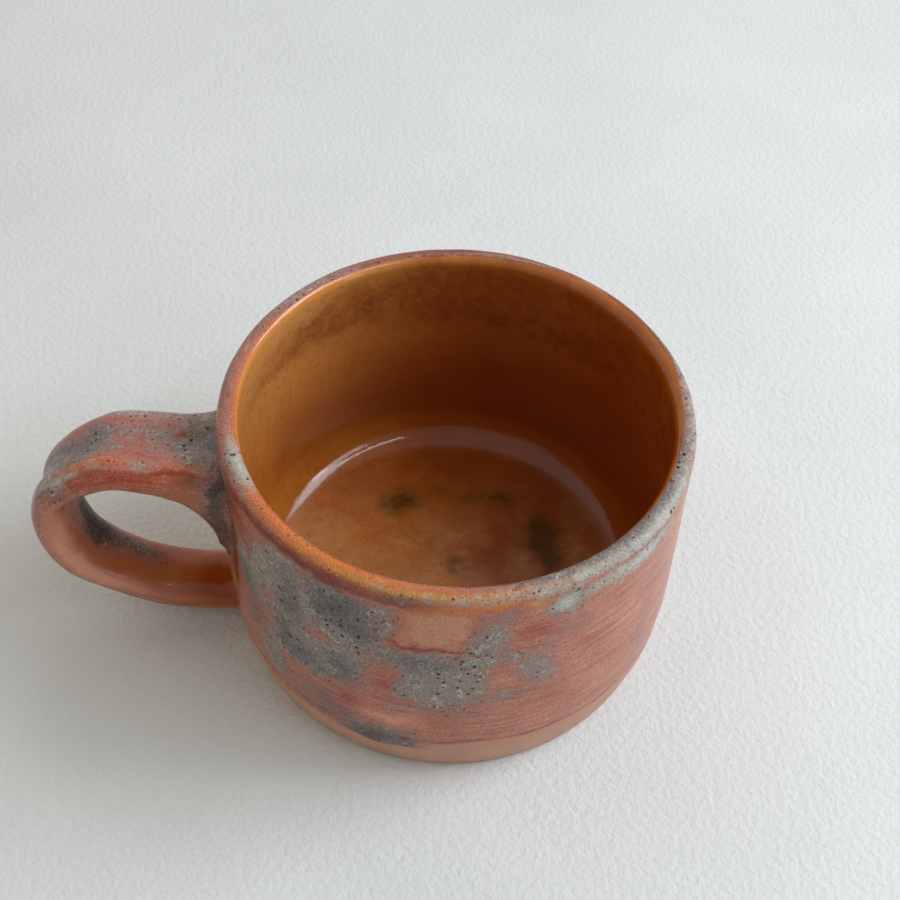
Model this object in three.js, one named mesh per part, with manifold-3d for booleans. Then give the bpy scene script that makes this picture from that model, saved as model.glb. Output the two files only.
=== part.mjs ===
// A hand-thrown stoneware mug: a thrown cup, a pulled strap handle, the two clay collars that weld the
// handle to the wall, and the glaze coats that cover the inside, the outside and the handle.
// Millimetres, +Z up. The origin is the centre of the flat base, and the handle points along -X.
import * as THREE from "three";
import { mergeVertices } from "three/addons/utils/BufferGeometryUtils.js";
import Module from "manifold-3d";

const wasm = await Module();
wasm.setup();

// Thrown cup, clay only
const cupHeight = 58.6;
const rimRadius = 44.6;
const bellyRadius = 45;
const bellyHeight = 22;
const baseRadius = 41.5;
const cornerPower = 1.76;
const wallThickness = 3.4;
const floorThickness = 6;
const floorFillet = 8;

// Glaze coats
const glazeThickness = 0.4;
const glazeLineHeight = 9;
const glazeRoll = 0.3;

// Pulled handle: where its roots meet the wall, and its route out from the wall and back
const upperRootBelowRim = 13.5;
const lowerRootHeight = 5.8;
const crownReach = 12.8;
const crownRise = 2;
const shoulderReach = 22;
const shoulderRise = 2.1;
const bendReach = 32.4;
const bendDrop = 6.4;
const heelReach = 31.8;
const heelRise = 14.5;
const returnReach = 16.3;
const returnRise = 2.4;

// Strap section: it is pulled wide and thin at the upper root, narrow and stout at the lower one
const upperWidth = 20.4;
const lowerWidth = 11.9;
const upperThickness = 6.3;
const lowerThickness = 7.1;
const taperStart = 0.15;
const taperEnd = 0.75;
const sectionPower = 2.45;
const grooveDepth = 1.2;
const grooveWidth = 7;

// The pulled strap lies slightly turned about its own route, more at the lower root, in degrees
const upperRoll = -6.8;
const lowerRoll = -14.6;

// The strap's upper root swells under the hand into a gusset that runs down the wall
const gussetDepth = 13;
const gussetRun = 23;

// Clay collars around the roots: how far they spread on the wall and run out along the strap
const upperCollarSpread = 5;
const upperCollarRun = 7;
const lowerCollarSpread = 1;
const lowerCollarRun = 4.5;
const collarEdge = 0.4;
const collarFlare = 2;

// Fits
const jointGap = 0.3;
const rootDepth = 6;

// Facets
const turnSegments = 48;
const footSteps = 3;
const footGrading = 2;
const wallSteps = 7;
const lipSteps = 3;
const innerWallSteps = 3;
const filletSteps = 4;
const strapStations = 34;
const sectionSides = 18;
const collarStations = 7;
const weldDistance = 0.001;

const lipRadius = wallThickness / 2;
const lipBase = cupHeight - lipRadius;
const upperRootHeight = cupHeight - upperRootBelowRim;

// Outside radius of the clay at a height above the table
function outerRadius(height) {
  if (height >= bellyHeight) {
    const rise = (height - bellyHeight) / (lipBase - bellyHeight);
    return bellyRadius - (bellyRadius - rimRadius) * rise ** 2;
  }
  const drop = 1 - height / bellyHeight;
  const swell = (1 - drop ** cornerPower) ** (1 / cornerPower);
  return baseRadius + (bellyRadius - baseRadius) * swell;
}

// Inside radius of the clay: the wall keeps its thickness, and the lower corner stays heavy
function innerRadius(height) {
  return outerRadius(Math.max(height, bellyHeight)) - wallThickness;
}

// Points from low to high, crowded towards low when the grading is over 1
function stepsBetween(low, high, count, grading = 1) {
  const steps = [];
  for (let i = 0; i <= count; i += 1) {
    steps.push(low + (high - low) * (i / count) ** grading);
  }
  return steps;
}

function arc(centreRadius, centreHeight, radius, startAngle, endAngle, count) {
  return stepsBetween(startAngle, endAngle, count).map((angle) => new THREE.Vector2(
    centreRadius + radius * Math.cos(angle),
    centreHeight + radius * Math.sin(angle),
  ));
}

// Clay profile in three runs that share their end points
const footRun = stepsBetween(0, glazeLineHeight, footSteps, footGrading)
  .map((height) => new THREE.Vector2(outerRadius(height), height));
const lipCentre = outerRadius(lipBase) - lipRadius;
const outerRun = [
  ...stepsBetween(glazeLineHeight, lipBase, wallSteps)
    .map((height) => new THREE.Vector2(outerRadius(height), height)),
  ...arc(lipCentre, lipBase, lipRadius, 0, Math.PI / 2, lipSteps).slice(1),
];
const filletTop = floorThickness + floorFillet;
const filletCentre = innerRadius(filletTop) - floorFillet;
const innerRun = [
  ...arc(lipCentre, lipBase, lipRadius, Math.PI / 2, Math.PI, lipSteps),
  ...stepsBetween(lipBase, filletTop, innerWallSteps).slice(1)
    .map((height) => new THREE.Vector2(innerRadius(height), height)),
  ...arc(filletCentre, filletTop, floorFillet, 0, -Math.PI / 2, filletSteps).slice(1),
  new THREE.Vector2(0, floorThickness),
];

// The glazed skin: the clay profile pushed out along its own normals
const skin = [...outerRun, ...innerRun.slice(1)];
const coat = skin.map((point, i) => {
  const before = skin[Math.max(i - 1, 0)];
  const after = skin[Math.min(i + 1, skin.length - 1)];
  const along = after.clone().sub(before).normalize();
  const thickness = glazeThickness + (i === 0 ? glazeRoll : 0);
  return new THREE.Vector2(point.x + along.y * thickness, point.y - along.x * thickness);
});
const crest = outerRun.length - 1;
const outerCoat = coat.slice(0, crest + 1);
const innerCoat = coat.slice(crest);

// Revolve a profile about Z
function turned(profile) {
  return new THREE.LatheGeometry(profile, turnSegments).rotateX(Math.PI / 2);
}

// Merge shared vertices and drop the triangles that collapse on the axis
function weld(geometry) {
  const bare = geometry.clone();
  bare.deleteAttribute("normal");
  bare.deleteAttribute("uv");
  const merged = mergeVertices(bare, weldDistance);
  const corners = merged.index.array;
  const kept = [];
  for (let i = 0; i < corners.length; i += 3) {
    const [a, b, c] = corners.slice(i, i + 3);
    if (a !== b && b !== c && c !== a) {
      kept.push(a, b, c);
    }
  }
  merged.setIndex(kept);
  return merged;
}

function toSolid(geometry) {
  const welded = weld(geometry);
  return new wasm.Manifold(new wasm.Mesh({
    numProp: 3,
    vertProperties: new Float32Array(welded.attributes.position.array),
    triVerts: new Uint32Array(welded.index.array),
  }));
}

function toGeometry(solid) {
  const mesh = solid.getMesh();
  const geometry = new THREE.BufferGeometry();
  geometry.setAttribute("position", new THREE.BufferAttribute(mesh.vertProperties, mesh.numProp));
  geometry.setIndex(new THREE.BufferAttribute(mesh.triVerts, 1));
  return geometry;
}

// Skin a row of rings and cap both ends
function loft(rings) {
  const sides = rings[0].length;
  const points = rings.flat();
  const corners = [];
  const last = (rings.length - 1) * sides;
  for (let here = 0; here < last; here += sides) {
    const there = here + sides;
    for (let j = 0; j < sides; j += 1) {
      const k = (j + 1) % sides;
      corners.push(here + j, there + j, here + k, here + k, there + j, there + k);
    }
  }
  for (let j = 1; j < sides - 1; j += 1) {
    corners.push(0, j, j + 1, last, last + j + 1, last + j);
  }
  const geometry = new THREE.BufferGeometry().setFromPoints(points);
  geometry.setIndex(corners);
  return geometry;
}

// Handle route in the XZ plane, from inside the wall at the upper root to inside the wall at the lower one
const upperWall = outerRadius(upperRootHeight);
const lowerWall = outerRadius(lowerRootHeight);
const route = new THREE.CatmullRomCurve3([
  [upperWall - rootDepth, upperRootHeight],
  [upperWall, upperRootHeight],
  [upperWall + crownReach, upperRootHeight + crownRise],
  [upperWall + shoulderReach, upperRootHeight + shoulderRise],
  [upperWall + bendReach, upperRootHeight - bendDrop],
  [lowerWall + heelReach, lowerRootHeight + heelRise],
  [lowerWall + returnReach, lowerRootHeight + returnRise],
  [lowerWall, lowerRootHeight],
  [lowerWall - rootDepth, lowerRootHeight],
].map(([reach, height]) => new THREE.Vector3(-reach, 0, height)));
const routeLength = route.getLength();

// A size that changes evenly from the upper root to the lower one
function taper(share, upper, lower) {
  return THREE.MathUtils.lerp(upper, lower, THREE.MathUtils.smoothstep(share, taperStart, taperEnd));
}

// How far the gusset hangs below the strap: a quarter of an ellipse that runs out along the strap
function gusset(share) {
  const fromWall = Math.max(share * routeLength - rootDepth, 0);
  const toRunOut = Math.max(1 - fromWall / gussetRun, 0);
  return gussetDepth * (1 - Math.sqrt(1 - toRunOut ** 2));
}

function roundedPower(value) {
  return Math.sign(value) * Math.abs(value) ** (2 / sectionPower);
}

// One ring of the strap: a rounded oblong with a shallow thumb groove along its outer face
function strapRing(share, grow) {
  const centre = route.getPointAt(share);
  const along = route.getTangentAt(share);
  const across = new THREE.Vector3(0, 1, 0);
  const outward = across.clone().cross(along);
  const halfWidth = taper(share, upperWidth, lowerWidth) / 2;
  const halfThickness = taper(share, upperThickness, lowerThickness) / 2;
  const underside = halfThickness + gusset(share);
  const roll = THREE.MathUtils.degToRad(taper(share, upperRoll, lowerRoll));
  const sectionCentre = new THREE.Vector2();
  const outline = [];
  for (let j = 0; j < sectionSides; j += 1) {
    const angle = (j / sectionSides) * Math.PI * 2;
    const side = halfWidth * roundedPower(Math.cos(angle));
    const upward = roundedPower(Math.sin(angle));
    const groove = grooveDepth * Math.exp(-((2 * side / grooveWidth) ** 2));
    const height = upward > 0 ? (halfThickness - groove) * upward : underside * upward;
    outline.push(new THREE.Vector2(side, height).rotateAround(sectionCentre, roll));
  }
  return outline.map((point, j) => {
    const before = outline[(j + sectionSides - 1) % sectionSides];
    const after = outline[(j + 1) % sectionSides];
    const edge = after.clone().sub(before).normalize();
    return centre.clone()
      .addScaledVector(across, point.x + edge.y * grow)
      .addScaledVector(outward, point.y - edge.x * grow);
  });
}

function strapRings(startShare, endShare, count, growAt) {
  return stepsBetween(startShare, endShare, count).map((share) => strapRing(share, growAt(share)));
}

// Everything inside the wall's outer face, with the joint gap, which trims what is set on the wall
const wallTrim = toSolid(turned([
  new THREE.Vector2(0, -cupHeight),
  new THREE.Vector2(baseRadius + jointGap, -cupHeight),
  ...[...footRun, ...outerRun.slice(1, wallSteps + 1)]
    .map((point) => new THREE.Vector2(point.x + jointGap, point.y)),
  new THREE.Vector2(0, lipBase),
]));

const strapSolid = toSolid(loft(strapRings(0, 1, strapStations, () => 0)));
const strapClearance = toSolid(loft(strapRings(0, 1, strapStations, () => jointGap)));

// A collar flares from a thin edge on the strap to its full spread on the wall
function collarRings(rootShare, tipShare, spread, clearance) {
  const flare = (share) => {
    const toWall = (tipShare - share) / (tipShare - rootShare);
    return jointGap + collarEdge + spread * toWall ** collarFlare + clearance;
  };
  const [start, end] = rootShare < tipShare ? [rootShare, tipShare] : [tipShare, rootShare];
  return strapRings(start, end, collarStations, flare);
}

function collarSolid(rootShare, tipShare, spread) {
  return toSolid(loft(collarRings(rootShare, tipShare, spread, 0)))
    .subtract(strapClearance)
    .subtract(wallTrim);
}

const upperTip = (rootDepth + upperCollarRun) / routeLength;
const lowerTip = 1 - (rootDepth + lowerCollarRun) / routeLength;
const upperWindow = toSolid(loft(collarRings(0, upperTip, upperCollarSpread, jointGap)));
const lowerWindow = toSolid(loft(collarRings(1, lowerTip, lowerCollarSpread, jointGap)));

// The handle's glaze is a sleeve on the strap between the two collars
const sleeveStart = upperTip + jointGap / routeLength;
const sleeveEnd = lowerTip - jointGap / routeLength;
const sleeveShares = [
  sleeveStart,
  ...stepsBetween(0, 1, strapStations).filter((share) => share > sleeveStart && share < sleeveEnd),
  sleeveEnd,
];
const sleeveSolid = toSolid(loft(sleeveShares.map((share) => strapRing(share, glazeThickness))))
  .subtract(strapSolid);

const cupProfile = [
  new THREE.Vector2(0, 0),
  ...footRun,
  ...skin.slice(1),
];
const outerGlazeProfile = [...outerCoat, ...outerRun.slice().reverse(), outerCoat[0]];
const linerProfile = [...innerCoat, ...innerRun.slice().reverse(), innerCoat[0]];

const clay = { color: 0xb98a72, roughness: 0.75, metalness: 0 };
const rose = { color: 0xb0786a, roughness: 0.35, metalness: 0 };
const amber = { color: 0x9a5a22, roughness: 0.12, metalness: 0 };

const mug = new THREE.Group();

function addPiece(name, geometry, finish) {
  const piece = new THREE.Mesh(geometry, new THREE.MeshStandardMaterial(finish));
  piece.name = name;
  mug.add(piece);
}

addPiece("cup_body", turned(cupProfile), clay);
addPiece("liner_glaze", turned(linerProfile), amber);
addPiece(
  "outer_glaze",
  toGeometry(toSolid(turned(outerGlazeProfile)).subtract(upperWindow).subtract(lowerWindow)),
  rose,
);
addPiece("handle_strap", toGeometry(strapSolid.subtract(wallTrim)), clay);
addPiece("upper_collar", toGeometry(collarSolid(0, upperTip, upperCollarSpread)), rose);
addPiece("lower_collar", toGeometry(collarSolid(1, lowerTip, lowerCollarSpread)), rose);
addPiece("handle_glaze", toGeometry(sleeveSolid), rose);

export default mug;
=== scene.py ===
# A hand-thrown stoneware mug with a pulled strap handle, an amber liner
# and an outer glaze that is mottled in rose and grey.
# Lengths are in millimetres and angles in degrees. Meshes are turned into metres as they are made.
import math

import bmesh
import bpy
import numpy as np
from mathutils import Matrix, Vector


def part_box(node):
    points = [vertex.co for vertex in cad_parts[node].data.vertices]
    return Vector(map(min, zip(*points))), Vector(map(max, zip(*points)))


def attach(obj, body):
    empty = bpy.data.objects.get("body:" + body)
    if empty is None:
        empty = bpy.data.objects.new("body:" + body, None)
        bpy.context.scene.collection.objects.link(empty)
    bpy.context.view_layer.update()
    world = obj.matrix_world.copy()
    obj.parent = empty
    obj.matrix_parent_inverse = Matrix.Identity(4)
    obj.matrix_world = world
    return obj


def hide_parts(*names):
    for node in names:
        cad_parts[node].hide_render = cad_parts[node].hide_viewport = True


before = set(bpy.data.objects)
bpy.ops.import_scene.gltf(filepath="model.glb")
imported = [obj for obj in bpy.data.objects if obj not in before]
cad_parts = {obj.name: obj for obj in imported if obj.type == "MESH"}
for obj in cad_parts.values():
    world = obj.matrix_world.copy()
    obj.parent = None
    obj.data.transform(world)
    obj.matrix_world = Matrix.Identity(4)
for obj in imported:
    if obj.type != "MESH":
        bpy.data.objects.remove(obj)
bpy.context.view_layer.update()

MM = 0.001

# The cup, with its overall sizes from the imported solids
CUP_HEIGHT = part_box("cup_body")[1].z / MM
BELLY_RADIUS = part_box("cup_body")[1].y / MM
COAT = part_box("outer_glaze")[1].z / MM - CUP_HEIGHT
RIM_RADIUS = 44.6
BELLY_LEVEL = 22
BASE_RADIUS = 41.5
CORNER_POWER = 1.76
WALL = 3.4
FLOOR = 6
FILLET = 8
GLAZE_LINE = 9
LIP_RADIUS = WALL / 2
LIP_BASE = CUP_HEIGHT - LIP_RADIUS
LIP_CENTRE = RIM_RADIUS - LIP_RADIUS
INSIDE_RADIUS = BELLY_RADIUS - WALL
FLOOR_RADIUS = INSIDE_RADIUS - FILLET

# The handle: its route as reach from the wall and height, its section and its joints
UPPER_ROOT = CUP_HEIGHT - 13.5
LOWER_ROOT = 5.8
ROOT_DEPTH = 6
CROWN = (12.8, 2)
SHOULDER = (22, 2.1)
BEND = (32.4, -6.4)
HEEL = (31.8, 14.5)
RETURN = (16.3, 2.4)
WIDTH = (20.4, 11.9)
THICKNESS = (6.3, 7.1)
ROLL = (-6.8, -14.6)
TAPER = (0.15, 0.75)
SECTION_POWER = 2.45
GROOVE_DEPTH = 1.2
GROOVE_WIDTH = 7
GUSSET_DEPTH = 13
GUSSET_RUN = 23
UPPER_COLLAR_RUN = 7
LOWER_COLLAR_RUN = 4.5
UPPER_FILLET = (4, 10)
LOWER_FILLET = (1.4, 3.5)

# How finely the meshes are divided
COLUMNS = 480
WALL_ROWS = 164
LIP_ROWS = 26
INSIDE_ROWS = 70
FILLET_ROWS = 26
FLOOR_ROWS = 60
UNDER_ROWS = 12
SECTION_SIDES = 96
ROUTE_SAMPLES = 60

DEGREE = math.pi / 180
ARC = BELLY_RADIUS * DEGREE
TURN = np.arange(COLUMNS) * 2 * math.pi / COLUMNS


def smoothstep(value, low, high):
    share = np.clip((value - low) / (high - low), 0, 1)
    return share * share * (3 - 2 * share)


# Smooth noise is a sum of waves, whose lengths range over these widths of a bump
WAVES = 24
WAVE_LENGTHS = (1.5, 3.2)


def ripple(points, size, seed):
    """Smooth noise of about -1 to 1, whose bumps are about as wide as size."""
    draw = np.random.default_rng(seed)
    heading = draw.normal(size=(WAVES, 3))
    heading /= np.linalg.norm(heading, axis=1, keepdims=True)
    pitch = 2 * math.pi / (size * draw.uniform(*WAVE_LENGTHS, WAVES))
    phase = draw.uniform(0, 2 * math.pi, WAVES)
    total = np.zeros(points.shape[:-1])
    for way, rate, start in zip(heading, pitch, phase):
        total += np.cos(points @ way * rate + start)
    return total / math.sqrt(2 * WAVES)


def turning_wave(turn, seed, most=9):
    """A wavy line round the cup, of about -1 to 1."""
    draw = np.random.default_rng(seed)
    total = np.zeros(np.shape(turn))
    for count in range(2, most + 1):
        total += draw.normal() * np.cos(count * turn + draw.uniform(0, 2 * math.pi)) / math.sqrt(count)
    return total / 2


FAR_OUTSIDE = -9.0


def ovals(turn, level, shapes, step=1.0, around=360.0):
    """Depth in millimetres inside the nearest oval, negative outside.
    A shape is its middle (turn, level), its half sizes in millimetres and its lean in degrees, if any."""
    depth = np.full(np.broadcast(turn, level).shape, FAR_OUTSIDE)
    for middle_turn, middle_level, half_across, half_up, *lean in shapes:
        across = ((turn - middle_turn + around / 2) % around - around / 2) * step
        up = level - middle_level
        angle = sum(lean) * DEGREE
        cos_lean, sin_lean = math.cos(angle), math.sin(angle)
        reach = np.hypot((across * cos_lean + up * sin_lean) / half_across,
                         (up * cos_lean - across * sin_lean) / half_up)
        depth = np.maximum(depth, (1 - reach) * min(half_across, half_up))
    return depth


def srgb(red, green, blue):
    """A colour as it looks on a screen, as the shader's linear values."""
    return tuple(c / 12.92 if c <= 0.04045 else ((c + 0.055) / 1.055) ** 2.4 for c in (red, green, blue))


# Materials. Noise lies about its middle, mostly within the spread, by which flecks and grain are set.
NOISE_MIDDLE = 0.5
NOISE_SPREAD = 0.12
FLECK_EDGE = (0.2, 1.6)
GRAIN_REACH = 1.8
DOT_LEAST = 0.25
DOT_EDGE = (1.25, 0.6)
MIX_INPUTS = (0, 6, 7)
MIX_RESULT = 2


class Nodes:
    """Makes and links the nodes of a tree."""

    def __init__(self, tree):
        self.tree = tree

    def node(self, kind, inputs, **settings):
        made = self.tree.nodes.new("ShaderNode" + kind)
        for name, value in settings.items():
            setattr(made, name, value)
        for name, value in inputs.items():
            if isinstance(value, bpy.types.NodeSocket):
                self.tree.links.new(value, made.inputs[name])
            else:
                made.inputs[name].default_value = value
        return made

    def math(self, operation, first, second):
        return self.node("Math", {0: first, 1: second}, operation=operation).outputs[0]


class Finish(Nodes):
    """A node material whose colour is laid on in coats. Sizes and depths are in millimetres."""

    def __init__(self, name, stops=None):
        self.material = bpy.data.materials.new(name)
        self.material.use_nodes = True
        super().__init__(self.material.node_tree)
        self.shader = self.tree.nodes["Principled BSDF"]
        self.place = self.node("TexCoord", {}).outputs["Object"]
        self.stops = stops
        self.depths = {}

    def field(self, name):
        return self.node("Attribute", {}, attribute_name=name).outputs["Fac"]

    def grain(self):
        return self.node("Attribute", {}, attribute_name="grain").outputs["Vector"]

    def plus(self, first, second):
        return self.math("ADD", first, second)

    def times(self, first, second):
        return self.math("MULTIPLY", first, second)

    def weighed(self, total, *pairs):
        """A total to which values are added, each times its weight."""
        for value, weight in pairs:
            total = self.plus(total, self.times(value, weight))
        return total

    def noise(self, size, detail=3.0, roughness=0.55, vector=None, twist=0.0):
        """Noise from 0 to 1 with features of a size, in the given vector's own unit if there is one."""
        scale = 1 / size if vector else 1 / (size * MM)
        inputs = {"Vector": vector or self.place, "Scale": scale, "Detail": detail, "Roughness": roughness,
                  "Distortion": twist}
        return self.node("TexNoise", inputs).outputs["Fac"]

    def sway(self, amount, **texture):
        """Noise about 0, as a depth that is mostly within the amount."""
        centred = self.math("SUBTRACT", self.noise(**texture), NOISE_MIDDLE)
        return self.times(centred, amount / NOISE_SPREAD)

    def span(self, value, low, high):
        inputs = {"Value": value, "From Min": low, "From Max": high}
        return self.node("MapRange", inputs, interpolation_type="SMOOTHSTEP").outputs["Result"]

    def mix(self, share, under, over, blend="MIX"):
        inputs = dict(zip(MIX_INPUTS, (share, under, over)))
        return self.node("Mix", inputs, data_type="RGBA", blend_type=blend).outputs[MIX_RESULT]

    def tint(self, share, under, colour):
        """Lays a share of a plain screen colour over another colour."""
        return self.mix(share, under, (*srgb(*colour), 1))

    def flecks(self, under, where, kinds):
        """Lays flecks over a colour. A kind is its size, strength, screen colour and twist."""
        low, high = [NOISE_MIDDLE + edge * NOISE_SPREAD for edge in FLECK_EDGE]
        for size, strength, colour, twist in kinds:
            seen = self.span(self.noise(size, roughness=0.6, twist=twist), low, high)
            under = self.tint(self.times(self.times(seen, strength), where), under, colour)
        return under

    def grained(self, under, where, size, strength):
        """Roughens a colour with a fine grain, lighter and darker by turns."""
        reach = GRAIN_REACH * NOISE_SPREAD
        grown = self.noise(size, detail=2.0, roughness=0.7)
        level = self.span(grown, NOISE_MIDDLE - reach, NOISE_MIDDLE + reach)
        return self.mix(self.times(strength, where), under, level, "OVERLAY")

    def dots(self, cell, radius, share):
        """Round dots of uneven size in a share of the cells of a size."""
        cells = self.node("TexVoronoi", {"Vector": self.place, "Scale": 1 / (cell * MM)})
        pick = self.node("SeparateColor", {"Color": cells.outputs["Color"]}).outputs
        distance = self.math("DIVIDE", cells.outputs["Distance"], self.plus(pick["Green"], DOT_LEAST))
        near = self.span(distance, *[edge * radius / cell for edge in DOT_EDGE])
        return self.times(near, self.math("LESS_THAN", pick["Red"], share))

    def ramp(self, value, stops):
        """A colour ramp over real values. A stop is its value, its screen colour and its cover."""
        low, high = stops[0][0], stops[-1][0]
        share = self.node("MapRange", {"Value": value, "From Min": low, "From Max": high}).outputs["Result"]
        ramp = self.node("ValToRGB", {"Fac": share})
        points = ramp.color_ramp.elements
        while len(points) < len(stops):
            points.new(0.5)
        for point, (at, *colour, cover) in zip(points, stops):
            point.position = (at - low) / (high - low)
            point.color = (*srgb(*colour), cover)
        return ramp

    def find_depths(self, mottle, amounts):
        """Finds the depth inside each coat's patches, whose edges the mottling moves."""
        for name, amount in amounts.items():
            self.depths[name] = self.weighed(self.field(name), (mottle, amount))

    def coats(self, under, *names):
        """Lays coats one over another."""
        for name in names:
            ramp = self.ramp(self.depths[name], self.stops[name])
            under = self.mix(ramp.outputs["Alpha"], under, ramp.outputs["Color"])
        return under

    def done(self, colour, roughness, height, bump_depth):
        bump = self.node("Bump", {"Height": height, "Strength": 1.0, "Distance": bump_depth * MM})
        self.tree.links.new(colour, self.shader.inputs["Base Color"])
        self.tree.links.new(roughness, self.shader.inputs["Roughness"])
        self.tree.links.new(bump.outputs["Normal"], self.shader.inputs["Normal"])
        return self.material


# The outer glaze: its ground by tone, and its coats by depth inside their patches.
# A stop is its tone or depth, its screen colour and its cover.
ROSE_GROUND = (
    (0.34, 0.66, 0.37, 0.285, 1),
    (0.46, 0.70, 0.42, 0.325, 1),
    (0.54, 0.735, 0.46, 0.36, 1),
    (0.66, 0.78, 0.52, 0.415, 1))
ROSE_COATS = {
    "toast": (
        (-2.0, 0.70, 0.41, 0.30, 0), (0.6, 0.67, 0.39, 0.25, 0.7), (2.6, 0.71, 0.42, 0.25, 0.95),
        (8.0, 0.59, 0.265, 0.08, 1)),
    "brown": ((-1.2, 0.62, 0.38, 0.24, 0), (0.5, 0.50, 0.29, 0.16, 0.75), (2.5, 0.36, 0.22, 0.12, 0.95)),
    "mauve": ((-2.0, 0.69, 0.42, 0.36, 0), (0.4, 0.62, 0.41, 0.38, 0.6), (3.0, 0.54, 0.40, 0.38, 0.9)),
    "red": ((-1.6, 0.69, 0.36, 0.28, 0), (0.6, 0.65, 0.29, 0.20, 0.75), (3.2, 0.55, 0.21, 0.12, 0.95)),
    "peach": ((-0.7, 0.67, 0.35, 0.25, 0), (0.1, 0.71, 0.425, 0.30, 0.85), (2.4, 0.78, 0.53, 0.40, 1)),
    "blush": ((-1.6, 0.74, 0.47, 0.36, 0), (0.4, 0.79, 0.53, 0.435, 0.6), (2.2, 0.88, 0.625, 0.52, 0.95)),
    "thin": ((-0.8, 0.70, 0.46, 0.37, 0), (0.3, 0.735, 0.525, 0.425, 0.8), (1.6, 0.75, 0.55, 0.45, 1)),
    "grey": (
        (-2.0, 0.67, 0.41, 0.35, 0), (-0.8, 0.63, 0.42, 0.38, 0.45), (0.0, 0.595, 0.45, 0.415, 0.8),
        (0.8, 0.58, 0.495, 0.455, 1), (2.2, 0.57, 0.525, 0.485, 1), (6.0, 0.55, 0.51, 0.475, 1)),
    "dark": (
        (-1.8, 0.50, 0.46, 0.45, 0), (0.0, 0.46, 0.425, 0.42, 0.6), (1.6, 0.41, 0.385, 0.385, 0.9),
        (4.0, 0.36, 0.335, 0.34, 1)),
    "black": ((-1.4, 0.34, 0.29, 0.27, 0), (0.3, 0.25, 0.21, 0.20, 0.75), (2.0, 0.15, 0.13, 0.125, 0.95)),
    "orange": ((-0.7, 0.68, 0.35, 0.22, 0), (0.0, 0.74, 0.39, 0.17, 0.75), (1.2, 0.80, 0.45, 0.19, 1)),
    "rust": ((-0.5, 0.60, 0.27, 0.17, 0), (0.0, 0.54, 0.21, 0.11, 0.7), (0.8, 0.46, 0.15, 0.07, 1)),
    "honey": ((-0.4, 0.72, 0.42, 0.17, 0), (0.1, 0.74, 0.49, 0.20, 0.8), (0.6, 0.78, 0.56, 0.26, 1)),
    # Pale glaze, and a painted highlight where it lines the lip's outer edge at the front right
    "pale_and_highlight": ((-1.2, 0.61, 0.57, 0.52, 0), (0.2, 0.65, 0.64, 0.60, 0.7), (1.4, 0.71, 0.71, 0.68, 0.95)),
}
# How strongly the mottling moves the edge of each coat, and a rougher mottling those of the darkest
ROSE_SWAY = {
    "toast": 0.5, "brown": 0.4, "mauve": 1.0, "red": 0.9, "peach": 0.3, "blush": 0.3, "thin": 0.35,
    "grey": 1.0, "orange": 0.3, "rust": 0.3, "honey": 0.12, "pale_and_highlight": 0.6,
}
ROUGH_SWAY = {"dark": 1.0, "black": 0.45}
STREAK_DEPTH = 4.0
# Flecks of the ground and of the grey clouds, as size, strength, screen colour and twist
GROUND_FLECKS = ((0.6, 0.3, (0.60, 0.28, 0.22), 0.0), (0.7, 0.3, (0.83, 0.62, 0.52), 0.0))
CLOUD_FLECKS = (
    (3.0, 0.6, (0.59, 0.44, 0.41), 1.0),
    (2.6, 0.85, (0.725, 0.71, 0.675), 1.5),
    (1.3, 0.45, (0.45, 0.42, 0.41), 2.0))
# Thin strokes, as the noise at which they begin and are full, their strength and screen colour
STROKES = ((0.53, 0.66, 0.36, (0.49, 0.22, 0.165)), (0.46, 0.34, 0.34, (0.81, 0.61, 0.52)))
# Depths between which a coat comes to cover, dry strokes show and the fringe of specks lies
COAT_EDGE = (-0.5, 1.0)
DRY_EDGE = (0.6, -1.0)
FRINGE_OUTSIDE = (-4.0, -1.6)
FRINGE_INSIDE = (1.6, 0.0)
FRINGE_MAUVE = (0.0, 2.0)
# Dots, as the size of their cells, their radius and the share of the cells that have one
PITS = (1.4, 0.34, 0.7)
PIT_COLOUR = (0.10, 0.08, 0.08)
PIT_DEPTH = 1.6
SPECKS = (1.0, 0.26, 0.5)
SPECK_COLOUR = (0.42, 0.17, 0.15)
ROSE_ROUGHNESS = 0.09
ROSE_IOR = 1.4


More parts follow.
